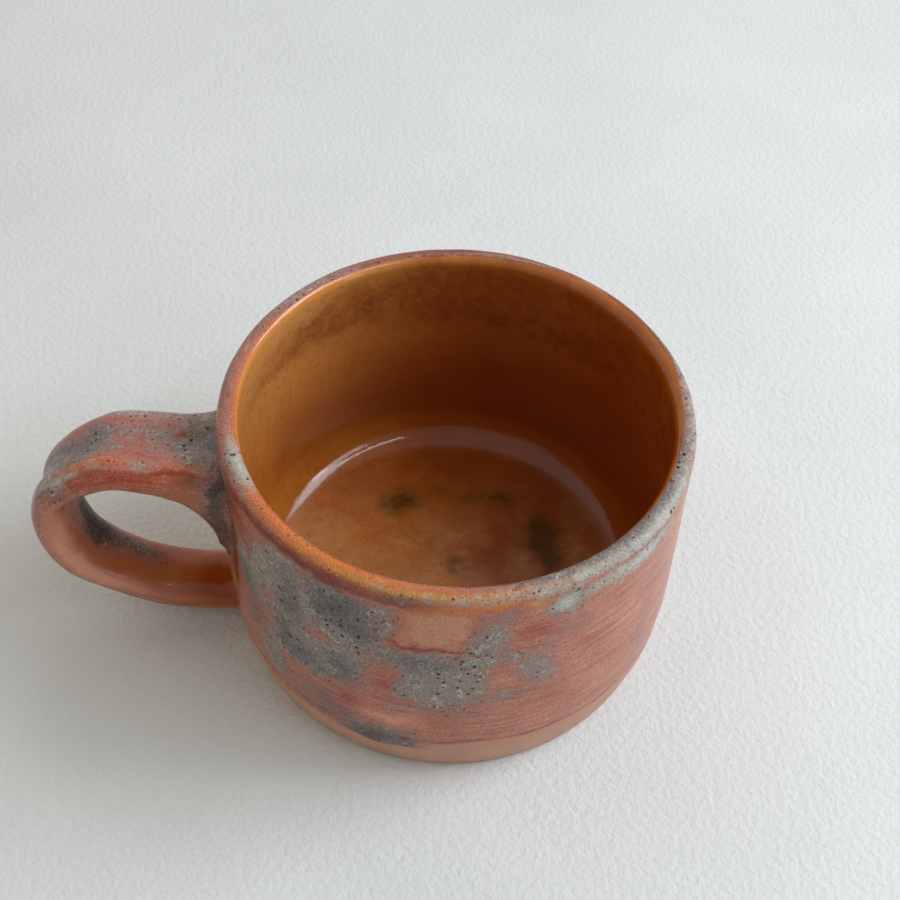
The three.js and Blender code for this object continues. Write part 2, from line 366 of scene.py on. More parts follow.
def rose_glaze():
    finish = Finish("rose_glaze", ROSE_COATS)
    fine = finish.sway(size=0.5, amount=0.4, detail=4.0, roughness=0.7)
    swirl = finish.sway(size=3.2, amount=0.7, twist=1.2)
    worms = finish.sway(size=1.7, amount=1.1, detail=2.0, roughness=0.5, twist=2.2)
    cloud = finish.noise(size=9)
    lines = finish.noise(size=0.9, roughness=0.65, vector=finish.grain())
    thin_lines = finish.noise(size=0.5, detail=2.0, roughness=0.6, vector=finish.grain())
    streak = finish.times(finish.math("SUBTRACT", lines, NOISE_MIDDLE), STREAK_DEPTH)
    mottle = finish.plus(finish.plus(fine, swirl), streak)
    finish.find_depths(mottle, ROSE_SWAY)
    finish.find_depths(finish.plus(worms, fine), ROUGH_SWAY)
    depths = finish.depths

    tone = finish.weighed(0, (cloud, 0.5), (lines, 0.5))
    colour = finish.ramp(tone, ROSE_GROUND).outputs["Color"]
    colour = finish.flecks(colour, 1.0, GROUND_FLECKS)
    colour = finish.coats(colour, "toast", "brown", "mauve", "red")
    dry = finish.span(depths["toast"], *DRY_EDGE)
    for begin, full, share, shade in STROKES:
        strokes = finish.times(finish.span(thin_lines, begin, full), finish.times(dry, share))
        colour = finish.tint(strokes, colour, shade)
    colour = finish.coats(colour, "peach", "blush", "thin", "grey")
    covered = finish.span(depths["grey"], *COAT_EDGE)
    colour = finish.flecks(colour, covered, CLOUD_FLECKS)
    colour = finish.coats(colour, "dark", "black")
    colour = finish.grained(colour, covered, size=0.4, strength=0.38)
    colour = finish.coats(colour, "orange", "rust", "honey", "pale_and_highlight")
    glassy = finish.math("MAXIMUM", depths["toast"], depths["blush"])
    glassy = finish.span(finish.math("MAXIMUM", glassy, depths["thin"]), *COAT_EDGE)
    grainy = finish.weighed(1.0, (glassy, -0.85))
    colour = finish.grained(colour, grainy, size=0.35, strength=0.3)

    fringe = finish.span(depths["grey"], *FRINGE_OUTSIDE)
    fringe = finish.times(fringe, finish.span(depths["grey"], *FRINGE_INSIDE))
    fringe = finish.math("MAXIMUM", fringe, finish.span(depths["mauve"], *FRINGE_MAUVE))
    pits = finish.times(finish.dots(*PITS), covered)
    specks = finish.times(finish.dots(*SPECKS), fringe)
    colour = finish.tint(specks, colour, SPECK_COLOUR)
    colour = finish.tint(pits, colour, PIT_COLOUR)

    thin = finish.span(depths["thin"], *COAT_EDGE)
    rough = finish.weighed(ROSE_ROUGHNESS, (covered, 0.18), (grainy, 0.12), (thin, 0.35))
    height = finish.times(finish.weighed(0, (lines, 0.6), (fine, 0.6)), grainy)
    height = finish.weighed(height, (pits, -PIT_DEPTH))
    finish.shader.inputs["IOR"].default_value = ROSE_IOR
    return finish.done(colour, rough, height, bump_depth=0.08)


# The liner: its ground, coats and flecks, in the same form, and milky patches towards the front of the
# floor, a painted reflection veil
AMBER_GROUND = (
    (0.34, 0.58, 0.29, 0.06, 1),
    (0.5, 0.64, 0.35, 0.09, 1),
    (0.66, 0.70, 0.41, 0.14, 1))
AMBER_COATS = {
    # Painted light: paler tan where the window lights the inner wall, and a painted reflection veil over the
    # front of the floor
    "tan": ((-6.0, 0.68, 0.42, 0.17, 0), (7.0, 0.78, 0.545, 0.30, 0.95), (11.0, 0.86, 0.61, 0.345, 1)),
    # Painted shade: darker on the inner wall turned away from the window
    "deep": ((-8.0, 0.58, 0.28, 0.06, 0), (8.0, 0.50, 0.20, 0.03, 0.8)),
    "speckle": ((-3.0, 0.57, 0.27, 0.09, 0), (3.0, 0.48, 0.20, 0.075, 0.6), (8.0, 0.41, 0.15, 0.07, 0.9)),
    # A painted highlight: a paler line along the lip edge on the side the window lights
    "edge": ((-0.7, 0.74, 0.44, 0.15, 0), (0.1, 0.78, 0.48, 0.20, 0.6), (0.8, 0.82, 0.52, 0.28, 0.95)),
    "blotch": ((-1.8, 0.50, 0.30, 0.08, 0), (0.2, 0.42, 0.265, 0.06, 0.55), (2.2, 0.33, 0.21, 0.045, 0.95)),
}
AMBER_SWAY = {"tan": 1.0, "deep": 1.0, "speckle": 2.6, "edge": 0.25, "blotch": 1.1}
AMBER_FLECKS = ((1.3, 0.3, (0.50, 0.24, 0.07), 0.0),)
FLOOR_FLECKS = ((3.2, 0.35, (0.52, 0.29, 0.09), 0.0), (1.4, 0.4, (0.50, 0.28, 0.11), 0.0))
# A painted reflection veil: milky patches on the front of the floor
MILKY_VEIL_FLECKS = ((2.4, 0.45, (0.76, 0.57, 0.40), 0.0),)
MILKY_VEIL_COLOUR = (0.70, 0.51, 0.33)
MILKY_VEIL_NOISE = (0.32, 0.68)
MILKY_VEIL_REACH = (-6.0, 3.0)
AMBER_ROUGHNESS = 0.07
AMBER_IOR = 1.45


def amber_glaze():
    finish = Finish("amber_glaze", AMBER_COATS)
    fine = finish.sway(size=0.6, amount=0.35, detail=4.0, roughness=0.65)
    middle = finish.sway(size=3.0, amount=0.6, detail=4.0, roughness=0.6, twist=0.8)
    cloud = finish.noise(size=14)
    mottle = finish.plus(fine, middle)
    finish.find_depths(mottle, AMBER_SWAY)

    colour = finish.ramp(finish.weighed(cloud, (mottle, 0.05)), AMBER_GROUND).outputs["Color"]
    # Painted light, then painted shade, over the ground colour
    colour = finish.coats(colour, "tan", "deep")
    colour = finish.flecks(colour, 1.0, AMBER_FLECKS)
    on_floor = finish.field("dull")
    # A painted reflection veil of milky patches, towards the front of the floor
    veil_patches = finish.span(finish.noise(size=8, detail=4.0, roughness=0.6), *MILKY_VEIL_NOISE)
    milky_veil = finish.times(finish.times(veil_patches, on_floor), finish.span(finish.field("tan"), *MILKY_VEIL_REACH))
    colour = finish.tint(finish.times(milky_veil, 0.6), colour, MILKY_VEIL_COLOUR)
    colour = finish.flecks(colour, on_floor, FLOOR_FLECKS)
    colour = finish.flecks(colour, milky_veil, MILKY_VEIL_FLECKS)
    colour = finish.coats(colour, "speckle", "edge", "blotch")
    rough = finish.weighed(AMBER_ROUGHNESS, (on_floor, 0.18), (cloud, 0.06))
    height = finish.weighed(0, (middle, 0.4), (fine, 0.1))
    finish.shader.inputs["IOR"].default_value = AMBER_IOR
    return finish.done(colour, rough, height, bump_depth=0.02)


# The bare clay
CLAY_GROUND = (
    (0.3, 0.71, 0.525, 0.435, 1),
    (0.5, 0.755, 0.565, 0.47, 1),
    (0.7, 0.79, 0.61, 0.515, 1))
CLAY_SPECKS = (1.4, 0.16, 0.3)
CLAY_SPECK_COLOUR = (0.56, 0.38, 0.30)
CLAY_ROUGHNESS = 0.42


def stoneware():
    finish = Finish("stoneware")
    fine = finish.noise(size=0.35, detail=4.0, roughness=0.7)
    cloud = finish.noise(size=8)
    lines = finish.noise(size=0.5, detail=2.0, roughness=0.5, vector=finish.grain())
    tone = finish.weighed(0, (cloud, 0.6), (fine, 0.4))
    colour = finish.ramp(tone, CLAY_GROUND).outputs["Color"]
    colour = finish.tint(finish.dots(*CLAY_SPECKS), colour, CLAY_SPECK_COLOUR)
    rough = finish.weighed(CLAY_ROUGHNESS, (fine, 0.2))
    height = finish.weighed(0, (lines, 0.6), (fine, 0.4))
    return finish.done(colour, rough, height, bump_depth=0.05)


MATERIALS = {"rose_glaze": rose_glaze(), "amber_glaze": amber_glaze(), "stoneware": stoneware()}
CREASE = 50


def make_piece(name, node, slot, points, fields, ring=False):
    """A closed mesh from a grid of points: a ring of rows, or rows whose two ends are closed by fans."""
    rows, columns = points.shape[:2]
    grid = np.arange(rows * columns).reshape(rows, columns)
    path = np.vstack([grid, grid[:1]]) if ring else grid
    here, above = path[:-1], path[1:]
    quads = np.stack([here, np.roll(here, -1, 1), np.roll(above, -1, 1), above], -1)
    faces = quads.reshape(-1, 4).tolist()
    places = points.reshape(-1, 3)
    values = {key: value.reshape(rows * columns, -1) for key, value in fields.items()}
    if not ring:
        for end in (grid[0], grid[-1]):
            tip = len(places)
            places = np.vstack([places, places[end].mean(0)])
            values = {key: np.vstack([value, value[end].mean(0)]) for key, value in values.items()}
            faces += [(int(a), int(b), tip) for a, b in zip(end, np.roll(end, -1))]
    mesh = bpy.data.meshes.new(name)
    mesh.from_pydata((places * MM).tolist(), [], faces)
    shape = bmesh.new()
    shape.from_mesh(mesh)
    bmesh.ops.recalc_face_normals(shape, faces=shape.faces)
    shape.to_mesh(mesh)
    shape.free()
    mesh.shade_smooth()
    mesh.set_sharp_from_angle(angle=CREASE * DEGREE)
    for key, value in values.items():
        kind, target = ("FLOAT", "value") if value.shape[1] == 1 else ("FLOAT_VECTOR", "vector")
        layer = mesh.attributes.new(key, kind, "POINT")
        layer.data.foreach_set(target, value.astype(np.float32).ravel())
    mesh.materials.append(MATERIALS[slot])
    piece = bpy.data.objects.new(name, mesh)
    bpy.context.collection.objects.link(piece)
    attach(piece, "root")
    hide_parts(node)


# The form of the cup, whose floor and base are closed by fans inside the tip's radius
TIP_RADIUS = 0.5


def outer_radius(height):
    lower = np.clip(height / BELLY_LEVEL, 0, 1)
    upper = np.clip((height - BELLY_LEVEL) / (LIP_BASE - BELLY_LEVEL), 0, None)
    corner = (1 - (1 - lower) ** CORNER_POWER) ** (1 / CORNER_POWER)
    foot = BASE_RADIUS + (BELLY_RADIUS - BASE_RADIUS) * corner
    return np.where(height < BELLY_LEVEL, foot, BELLY_RADIUS - (BELLY_RADIUS - RIM_RADIUS) * upper ** 2)


def outer_normal(height):
    step = 0.01
    slope = (outer_radius(height + step) - outer_radius(np.maximum(height - step, 0))) / (2 * step)
    length = np.hypot(1, slope)
    return 1 / length, -slope / length


def lip_profile(turn_angle):
    """Points of the bare lip and their normals: 0 is on the outside, 180 on the inside."""
    cos_lip, sin_lip = np.cos(turn_angle * DEGREE), np.sin(turn_angle * DEGREE)
    return LIP_CENTRE + LIP_RADIUS * cos_lip, LIP_BASE + LIP_RADIUS * sin_lip, cos_lip, sin_lip


def inside_profile():
    """The inside of the bare cup from below the lip to the middle of the floor, with its normals."""
    height = np.linspace(LIP_BASE, FLOOR + FILLET, INSIDE_ROWS)[1:]
    wall_radius = outer_radius(np.maximum(height, BELLY_LEVEL)) - WALL
    bend = np.linspace(0, 90, FILLET_ROWS)[1:] * DEGREE
    floor_radius = np.linspace(FLOOR_RADIUS, TIP_RADIUS, FLOOR_ROWS)[1:]
    radius = np.concatenate([wall_radius, FLOOR_RADIUS + FILLET * np.cos(bend), floor_radius])
    level = np.concatenate([height, FLOOR + FILLET * (1 - np.sin(bend)), np.full(FLOOR_ROWS - 1, FLOOR)])
    inward = np.concatenate([np.full(INSIDE_ROWS - 1, -1.0), -np.cos(bend), np.zeros(FLOOR_ROWS - 1)])
    upward = np.concatenate([np.zeros(INSIDE_ROWS - 1), np.sin(bend), np.ones(FLOOR_ROWS - 1)])
    return radius, level, inward, upward


# How far the cup is out of true, mostly above a share of its height
LIP_DIP = 0.15
OUT_OF_ROUND = 0.1
LIP_FLARE = 0.28
UNEVEN_FROM = 0.7


def lathe(radius, level):
    """Turns a profile, row by row and column by column, into points of the slightly uneven cup."""
    radius, level = np.broadcast_arrays(radius, level)
    rise = smoothstep(level, CUP_HEIGHT * UNEVEN_FROM, CUP_HEIGHT)
    dip = LIP_DIP * (0.5 + 0.5 * np.clip(turning_wave(TURN, seed=3), -1, 1))
    squeeze = OUT_OF_ROUND * (0.5 - 0.5 * np.cos(2 * TURN)) * smoothstep(level, 0, CUP_HEIGHT)
    flare = LIP_FLARE * rise * (0.5 + 0.5 * np.cos(TURN))
    spread = radius + (flare - squeeze) * np.minimum(radius / BASE_RADIUS, 1)
    return np.stack([spread * np.cos(TURN), spread * np.sin(TURN), level - dip * rise], -1)


# Where the coats end: a wavy line with a drip outside, and the angle on the lip at which the liner begins
LINE_WAVE = 0.45
DRIP_TURN = 249
DRIP_HALF = 6
DRIP_DEPTH = 1.3
LINER_ANGLE = 128
LINER_FRONT = 230
LINER_LEAN = 24
LINER_WAVE = 4
OVERRUN_TURN = 25
OVERRUN_HALF = 28
OVERRUN_ANGLE = 26


def turn_from(turn):
    """How far each column is from a turn, in degrees."""
    return (np.degrees(TURN) - turn + 180) % 360 - 180


def swelling(turn, half):
    """1 at a turn of the cup, falling away on both sides."""
    return np.exp(-(turn_from(turn) / half) ** 2)


DRIP = DRIP_DEPTH * swelling(DRIP_TURN, DRIP_HALF)
GLAZE_EDGE = GLAZE_LINE + LINE_WAVE * turning_wave(TURN, seed=5, most=14) - DRIP
LEAN = LINER_LEAN * np.cos(turn_from(LINER_FRONT) * DEGREE)
OVERRUN = OVERRUN_ANGLE * swelling(OVERRUN_TURN, OVERRUN_HALF)
LINER_EDGE = LINER_ANGLE + LEAN - OVERRUN + LINER_WAVE * turning_wave(TURN, seed=8, most=24)
UNDERSIDE = -0.05
GRAIN_STRETCH = 0.05


def wall_grain(points):
    """Coordinates in which the throwing lines are stretched round the cup."""
    return points * np.array((GRAIN_STRETCH, GRAIN_STRETCH, 1.0))


# Patches of the outer glaze: turn round the cup, level, half sizes and lean
WALL_PATCHES = {
    "grey": (
        (222, 44, 9, 11), (210, 39, 4.5, 6, 20), (238, 46, 8.5, 9.5), (229, 31, 9.5, 6.5),
        (238, 33, 9.5, 6, 30), (220, 24, 4, 9.5, -8), (250, 40.5, 6, 2.6, -10), (250.5, 49, 1.8, 7),
        (262, 36, 9, 6.5), (263, 31, 8, 5.5), (272, 34, 5, 5), (274, 43, 4, 7, -20), (277.5, 48.5, 2, 3.5),
        (281.5, 41, 4, 1.6, -8), (286.5, 35.5, 2.3, 4.6, 8), (282, 28.5, 4.5, 0.9, 10),
        (292.5, 53.5, 4.4, 3.6), (249.5, 11.8, 7, 3.6, 8), (313, 54.4, 7, 1.2), (198, 59.6, 6.5, 2),
        (318, 60, 28, 3.8), (262, 60.6, 8, 0.8), (128, 59.6, 8, 1), (72, 59.4, 7, 0.9), (16, 48, 13, 7, 12),
        (34, 42, 10, 6, -20), (50, 40, 8, 4, 10), (62, 46, 7, 7), (98, 47, 14, 7, 8), (110, 39, 9, 6, 25),
        (122, 31, 7, 4, -10), (128, 42, 9, 3), (146, 44, 9, 9, -10), (154, 33, 4, 6), (86, 38, 3, 5, 20),
        (78, 31, 6, 3, -10), (92, 12, 6, 2.4, 5), (350, 37, 5, 3, 15), (2, 40, 5, 2, -20), (172, 42, 5, 10)),
    "dark": (
        (240.5, 49, 5, 6, -15), (244, 45.5, 4.5, 3.4, -30), (235.5, 52, 3.5, 2.5), (226, 43, 2.2, 6.5),
        (232, 28.5, 8, 2.4), (240, 31, 4.2, 3, 35), (223.5, 32, 3, 4), (259, 39.5, 5.5, 1.9),
        (249.5, 11.6, 6.6, 3.4, 8), (210, 37, 3, 3.4), (196, 42, 1.6, 10), (317, 60.4, 25, 1.7),
        (20, 48, 8, 3.4, 20), (60, 44, 4, 4), (94, 48.5, 7, 3.4, -15), (112, 38, 5, 3, 30),
        (144, 46, 4.5, 5), (92, 12, 5, 2, 5)),
    "red": (
        (286, 48, 2.4, 3.4), (251, 30.5, 2, 2.5), (203, 52, 4, 5), (40, 52, 9, 3), (130, 52, 8, 3),
        (243, 22, 3, 3)),
    "rust": (
        (229, 56.6, 23.5, 1.2), (261, 43.8, 6.4, 0.5, -3), (255, 57, 4, 1), (285, 12.9, 30, 0.1),
        (85, 58.4, 22, 0.9), (202, 40, 1.2, 14)),
    "black": ((199.5, 40, 0.8, 9),),
    "peach": ((263.3, 51.4, 6.9, 8), (260.5, 47, 5.4, 3.6), (75, 44, 4.5, 4), (228, 60, 22, 1.8)),
    "blush": ((252, 20, 6.4, 2, 4), (56, 20, 10, 1.2, 5)),
    "orange": (
        (270.5, 56.6, 13, 1.6), (238, 59.6, 21, 0.9), (170, 61, 30, 0.5), (328, 56, 2.5, 1.2),
        (312, 57, 20, 0.2)),
    "mauve": (
        (236, 17, 9, 6.5, 10), (251, 49, 3.4, 7.5), (276, 52.5, 4.5, 2.6), (206, 44, 4, 12, -20),
        (281, 27.5, 6, 2, 10), (295, 45.5, 3.6, 2.6), (236, 10.3, 6, 1.3), (291, 9.8, 8, 1),
        (322, 24, 0.8, 8), (170, 59.4, 18, 1.8), (272, 60.3, 12, 1), (212, 30, 4, 12), (262, 24.5, 11, 2.2),
        (112, 22, 14, 3, 10), (44, 32, 11, 3, 10), (10, 16, 12, 2), (136, 25, 8, 2.4), (110, 59.2, 16, 1.2)),
    "toast": ((199, 40, 3.4, 16), (190, 14, 12, 8)),
    "brown": ((90, 59.6, 54, 3), (15, 59.8, 32, 4.6)),
    "honey": ((256, 58.6, 24, 0.45), (284, 55.6, 2.4, 0.8)),
    # The line along the lip's outer edge at the front right is a painted highlight; the rest is pale glaze
    "pale_and_highlight": ((198, 59.9, 5, 1.3), (316, 57.9, 22, 0.7), (292.5, 53.5, 3, 2.2), (313, 53.8, 9, 2.2)),
}
WALL_ISLANDS = {
    "grey": (
        (251, 31.5, 2.6, 5.5), (280.5, 34, 2.4, 4.3), (219.5, 39, 1, 1.6), (235.5, 38.5, 1.5, 1.3),
        (263.3, 51.4, 7.2, 8.2), (260.5, 47, 5.7, 3.8), (52, 45, 3, 2), (104, 42, 2.4, 2),
        (75, 44, 4.8, 4.3)),
    "dark": ((236, 29.5, 2.2, 1.6),),
}
ISLAND_EDGE = 0.2
# The glaze is thin below a line that dips at one side
THIN_LEVEL = 12.6
THIN_WAVE = 0.3
THIN_SLOPE = 1.2
THIN_DIP = 2.2
THIN_DIP_TURN = 224
THIN_DIP_HALF = 20
# How far the patches' edges wander, by broad and fine bumps, and the share left on the lip and the foot
WANDER_SIZES = (5, 1.8)
WANDER_ACROSS = (1.5, 0.6)
WANDER_UP = (1.0, 0.5)
WANDER_ON_LIP = 0.2
WANDER_ON_FOOT = 0.3
CALM_LIP = (LIP_BASE - 2, LIP_BASE + 1)
CALM_FOOT = (10, 22)


def wander(points, amounts, seeds):
    """How far each point's place among the patches is moved."""
    kinds = zip(amounts, WANDER_SIZES, seeds)
    return sum(amount * ripple(points, size, seed) for amount, size, seed in kinds)


def patch_fields(turn, level, patches, islands, step):
    """How deep each point is inside each kind of patch, with the islands left bare."""
    fields = {name: ovals(turn, level, shapes, step) for name, shapes in patches.items()}
    for name, shapes in islands.items():
        fields[name] = np.minimum(fields[name], -ISLAND_EDGE - ovals(turn, level, shapes, step))
    return fields


def wall_fields(points, level):
    """The outer glaze's patches at the points of the wall and lip. Level runs on over the lip."""
    below_lip = 1 - (1 - WANDER_ON_LIP) * smoothstep(level, *CALM_LIP)
    above_foot = WANDER_ON_FOOT + (1 - WANDER_ON_FOOT) * smoothstep(level, *CALM_FOOT)
    on_wall = below_lip * above_foot
    turn = np.degrees(TURN) + wander(points, WANDER_ACROSS, seeds=(21, 22)) * on_wall / ARC
    height = level + wander(points, WANDER_UP, seeds=(23, 24)) * on_wall
    fields = patch_fields(turn, height, WALL_PATCHES, WALL_ISLANDS, ARC)
    dip = THIN_DIP * swelling(THIN_DIP_TURN, THIN_DIP_HALF)
    thin = THIN_LEVEL - dip + THIN_WAVE * turning_wave(TURN, seed=7, most=12) - level
    fields["thin"] = THIN_SLOPE * thin
    return {**fields, "grain": wall_grain(points)}


# How the outer coat lies: its usual share of the full depth, its least depth, a rounded edge with a bead,
# throwing rings, thicker clouds and broad unevenness
COAT_SHARE = 0.75
COAT_LEAST = 0.1
EDGE_ROUNDING = 0.6
BEAD_DEPTH = 0.12
BEAD_PLACE = 0.8
BEAD_HALF = 0.6
RING_DEPTH = 0.03
RING_SIZE = 1.1
CLOUD_DEPTH = 0.05
CLOUD_EDGE = (-0.5, 1.5)
UNEVEN_DEPTH = 0.04
UNEVEN_SIZE = 4
ROW_GRADING = 1.15


def under_rows(radius, level, out, up, rows):
    """Rows back along a profile, just inside the clay, and the numbers of the rows above them."""
    pick = np.linspace(len(radius) - 1, 0, rows).astype(int)
    return lathe(radius[pick] + out[pick] * UNDERSIDE, level[pick] + up[pick] * UNDERSIDE), pick


def outer_coat():
    share = np.linspace(0, 1, WALL_ROWS)[:, None] ** ROW_GRADING
    height = GLAZE_EDGE + (LIP_BASE - GLAZE_EDGE) * share
    lip_angle = LINER_EDGE * np.linspace(0, 1, LIP_ROWS)[1:, None]
    lip_radius, lip_height, lip_out, lip_up = lip_profile(lip_angle)
    wall_out, wall_up = outer_normal(height)
    radius = np.vstack([outer_radius(height), lip_radius])
    level = np.vstack([height, lip_height])
    out = np.vstack([wall_out, lip_out])
    up = np.vstack([wall_up, lip_up])
    run = np.vstack([height, LIP_BASE + LIP_RADIUS * lip_angle * DEGREE])

    bare = lathe(radius, level)
    fields = wall_fields(bare, run)
    rounding = np.sqrt(1 - (1 - np.clip((run - GLAZE_EDGE) / EDGE_ROUNDING, 0, 1)) ** 2)
    bead = BEAD_DEPTH * np.exp(-((run - GLAZE_EDGE - BEAD_PLACE) / BEAD_HALF) ** 2)
    rings = RING_DEPTH * ripple(wall_grain(bare), RING_SIZE, seed=31)
    clouds = CLOUD_DEPTH * smoothstep(fields["grey"], *CLOUD_EDGE)
    thick = clouds + UNEVEN_DEPTH * ripple(bare, UNEVEN_SIZE, seed=32)
    depth = np.clip(COAT * COAT_SHARE + rings + thick + bead, COAT_LEAST, COAT) * rounding
    skin = lathe(radius + out * depth, level + up * depth)

    under, pick = under_rows(radius, level, out, up, UNDER_ROWS)
    whole = {key: np.vstack([value, value[pick]]) for key, value in fields.items()}
    make_piece("outer_coat", "outer_glaze", "rose_glaze", np.vstack([skin, under]), whole, ring=True)


# Marks inside the cup: blotches as x, y, half sizes and lean, and small bumps as x, y, width and height
FLOOR_BLOTCHES = (
    (-8.8, 20, 4.8, 3, 15), (-13, 19.4, 1.8, 1.5), (20.5, 9.5, 4.6, 6.6, 14), (22.8, 3.6, 3.4, 6),
    (12.8, 19.6, 3.4, 2.4, -20), (27, 15.6, 1, 1), (3, 22, 5, 0.5), (8, 20.5, 1.6, 1), (2, 2, 1.8, 1.6))
FLOOR_BUMPS = ((8.4, 13.6, 2, 0.12), (2, 2.8, 2.4, 0.14), (-4, 11, 1.8, 0.06))
MARK_WANDER = 0.9
MARK_WANDER_SIZE = 4
FLOOR_REACH = 1
FAR_AWAY = 1000.0
NO_TURN = 1e6
# Shades of the liner: a speckled band, a painted highlight along the lip edge, painted light on the side
# towards the window and over the front of the floor, and a painted shade on the side away from the window
SPECKLE_LEVEL = CUP_HEIGHT - 10
SPECKLE_HALF = 10
SPECKLE_EVEN = 0.3
SPECKLE_MOST = 3
SPECKLE_TURN = 50
SPECKLE_WANDER = 2
# A painted highlight along the lip edge, strongest on the side towards the window
EDGE_HIGHLIGHT_TURN = 190
EDGE_WIDTH = 1.0
EDGE_SIDE = (-0.5, 0.6)
# Painted light: the inner wall is paler on the side the window lights, and the floor paler towards the front
# as a painted reflection veil
LIT_SIDE_TURN = 164
LIT_SIDE_REACH = 12
LIT_SIDE_RISE = (12, CUP_HEIGHT + 8)
LIT_SIDE_LESS = 2
FLOOR_VEIL = 2
FLOOR_VEIL_RUN = 4
# A painted shade on the inner wall turned away from the window, darkest about its middle height
SHADED_SIDE_TURN = 35
SHADED_SIDE_LEVEL = 20
SHADED_SIDE_REACH = 12
SHADED_SIDE_EVEN = 0.2
SHADED_SIDE_SPREAD = 2
# How the liner lies: its usual share of the full depth, and throwing rings that begin below the lip
LINER_SHARE = 0.7
THROW_DEPTH = 0.012
THROW_PITCH = 7
THROW_WANDER = 0.8
THROW_START = 6
LINER_UNEVEN = 0.03


def liner():
    lip_angle = LINER_EDGE + (180 - LINER_EDGE) * np.linspace(0, 1, LIP_ROWS // 2)[:, None]
    lip = lip_profile(lip_angle)
    inside = [np.repeat(value[:, None], COLUMNS, 1) for value in inside_profile()]
    radius, level, out, up = [np.vstack(pair) for pair in zip(lip, inside)]
    bare = lathe(radius, level)
    steps = np.hypot(np.diff(radius, axis=0), np.diff(level, axis=0))
    run = np.vstack([np.zeros(COLUMNS), np.cumsum(steps, 0)])
    phase = 2 * math.pi * run / THROW_PITCH + THROW_WANDER * ripple(bare, size=20, seed=41)
    rings = THROW_DEPTH * np.sin(phase) + LINER_UNEVEN * ripple(bare, size=16, seed=42)
    depth = np.clip(COAT * LINER_SHARE + rings * smoothstep(run, 0, THROW_START), COAT_LEAST, COAT)
    for x, y, width, height in FLOOR_BUMPS:
        away = (bare[..., 0] - x) ** 2 + (bare[..., 1] - y) ** 2
        depth = depth + height * np.exp(-away / (width / 2) ** 2)
    skin = lathe(radius + out * depth, level + up * depth)

    def facing(turn):
        return np.cos(TURN - turn * DEGREE)

    shift_x, shift_y = [MARK_WANDER * ripple(bare, MARK_WANDER_SIZE, seed) for seed in (43, 44)]
    floor_top = FLOOR + FLOOR_REACH
    on_floor = np.where(level < floor_top, bare[..., 0], FAR_AWAY)
    lit_wall = LIT_SIDE_REACH * facing(LIT_SIDE_TURN) * smoothstep(level, *LIT_SIDE_RISE) - LIT_SIDE_LESS
    band = SPECKLE_HALF * (SPECKLE_EVEN + (1 - SPECKLE_EVEN) * facing(SPECKLE_TURN))
    from_band = np.abs(level - SPECKLE_LEVEL + SPECKLE_WANDER * shift_x)
    shaded_wall = SHADED_SIDE_REACH * (SHADED_SIDE_EVEN + facing(SHADED_SIDE_TURN))
    fields = {
        "blotch": ovals(on_floor + shift_x, bare[..., 1] + shift_y, FLOOR_BLOTCHES, around=NO_TURN),
        "speckle": np.minimum(band - from_band, SPECKLE_MOST),
        # Painted light on the lit wall, and a painted reflection veil on the floor
        "tan": np.where(level < floor_top, FLOOR_VEIL - bare[..., 1] / FLOOR_VEIL_RUN, lit_wall),
        "dull": smoothstep(level, floor_top, FLOOR),
        # Painted shade on the inner wall turned away from the window
        "deep": shaded_wall - np.abs(level - SHADED_SIDE_LEVEL) / SHADED_SIDE_SPREAD,
        # A painted highlight along the lip edge
        "edge": EDGE_WIDTH * (2 * smoothstep(facing(EDGE_HIGHLIGHT_TURN), *EDGE_SIDE) - 1) - run,
    }
    under, pick = under_rows(radius, level, out, up, UNDER_ROWS * 3)
    whole = {key: np.vstack([value[pick], value]) for key, value in fields.items()}
    make_piece("amber_liner", "liner_glaze", "amber_glaze", np.vstack([under, skin]), whole)


# The clay has close rows in the bare foot, and fewer under the coats
FOOT_TOP = GLAZE_LINE + 3
FOOT_ROWS = WALL_ROWS // 4
INSIDE_STRIDE = 4


def clay_cup():
    base = np.linspace(TIP_RADIUS, BASE_RADIUS, UNDER_ROWS)[:-1]
    foot = FOOT_TOP * np.linspace(0, 1, FOOT_ROWS) ** 2
    wall = np.linspace(FOOT_TOP, LIP_BASE, UNDER_ROWS * 2)[1:]
    lip_radius, lip_height = lip_profile(np.linspace(0, 180, LIP_ROWS)[1:])[:2]
    inside_radius, inside_height = [value[::INSIDE_STRIDE] for value in inside_profile()[:2]]
    rise = np.concatenate([foot, wall])
    radius = np.concatenate([base, outer_radius(rise), lip_radius, inside_radius])
    level = np.concatenate([np.zeros(len(base)), rise, lip_height, inside_height])
    points = lathe(radius[:, None], level[:, None])
    make_piece("clay_cup", "cup_body", "stoneware", points, {"grain": wall_grain(points)})


